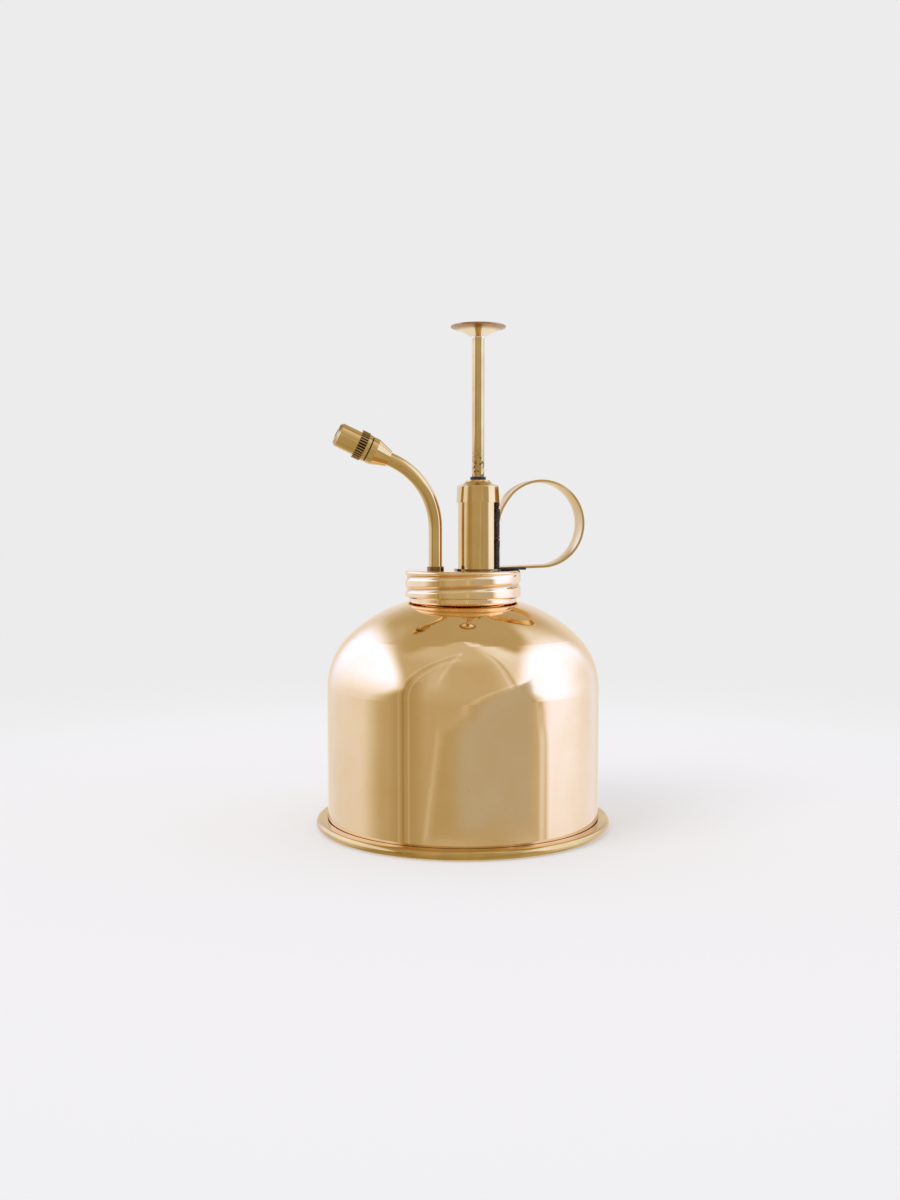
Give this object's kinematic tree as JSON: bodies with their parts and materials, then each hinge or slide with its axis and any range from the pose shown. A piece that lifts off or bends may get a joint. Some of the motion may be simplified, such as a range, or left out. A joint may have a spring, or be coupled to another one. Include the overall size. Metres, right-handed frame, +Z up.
{
  "type": "hand mister",
  "caption": "Polished brass plant mister: round domed reservoir, screw-on pump head with thumb plunger, finger loop and bent spout with adjustable nozzle.",
  "frame": {"origin": "centre of the round foot, on the surface that the mister stands on", "axes": "+Z up along the reservoir's axis, spout towards -X, finger loop towards +X, and the symmetry plane of spout and loop is Y = 0"},
  "size_m": [0.102, 0.102, 0.1727],
  "materials": {
    "polished_brass": "polished",
    "turned_brass": "turned, satin",
    "black_rubber": "matt",
    "oiled_leather": "oiled",
    "stainless_steel": "plain"
  },
  "bodies": {
    "reservoir": {"body_shell": "polished_brass", "base_pan": "polished_brass", "neck_ring": "polished_brass"},
    "cap_seal": {"cap_gasket": "black_rubber"},
    "pump_head": {"pump_cap": "polished_brass", "barrel_collar": "polished_brass", "pump_barrel": "polished_brass", "barrel_cap": "polished_brass", "gland_seal": "black_rubber", "buffer_washer": "oiled_leather", "handle_strap": "polished_brass", "spout_tube": "polished_brass", "spout_ferrule": "polished_brass", "nozzle_base": "polished_brass", "nozzle_oring": "black_rubber", "valve_block": "turned_brass", "ball_retainer": "turned_brass", "dip_tube": "turned_brass", "strainer": "stainless_steel", "return_spring": "stainless_steel", "outlet_spring": "stainless_steel"},
    "plunger": {"plunger_rod": "polished_brass", "thumb_knob": "polished_brass", "piston": "turned_brass", "piston_seal": "oiled_leather", "piston_washer": "turned_brass", "piston_nut": "turned_brass"},
    "inlet_valve": {"inlet_ball": "stainless_steel"},
    "outlet_valve": {"outlet_ball": "stainless_steel"},
    "swirl_insert": {"swirl_disc": "turned_brass"},
    "nozzle_cap": {"nozzle_cap": "polished_brass"}
  },
  "joints": [
    {"name": "head_lift", "type": "slide", "parent": "reservoir", "child": "cap_seal", "axis": [0, 0, 1], "range_m": [0, 0.095]},
    {"name": "cap_turn", "type": "hinge", "parent": "cap_seal", "child": "pump_head", "pos_m": [0, 0, 0.084], "axis": [0, 0, 1], "range_deg": [0, 720]},
    {"name": "plunger_press", "type": "slide", "parent": "pump_head", "child": "plunger", "axis": [0, 0, -1], "range_m": [0, 0.042], "stiffness_N_per_m": 150, "springref_m": -0.02, "deforming": ["return_spring"]},
    {"name": "inlet_ball_lift", "type": "slide", "parent": "pump_head", "child": "inlet_valve", "axis": [0, 0, 1], "range_m": [0, 0.0015]},
    {"name": "outlet_ball_lift", "type": "slide", "parent": "pump_head", "child": "outlet_valve", "axis": [0, 0, 1], "range_m": [0, 0.001], "stiffness_N_per_m": 30, "springref_m": -0.001, "deforming": ["outlet_spring"]},
    {"name": "nozzle_advance", "type": "slide", "parent": "pump_head", "child": "swirl_insert", "axis": [-0.9063, 0, 0.4226], "range_m": [0, 0.00112]},
    {"name": "nozzle_turn", "type": "hinge", "parent": "swirl_insert", "child": "nozzle_cap", "pos_m": [-0.02587, 0, 0.12668], "axis": [-0.9063, 0, 0.4226], "range_deg": [0, 540]}
  ],
  "couplings": [
    {"joint": "nozzle_turn", "follows": "nozzle_advance", "rad_per_m": 8377.6}
  ]
}
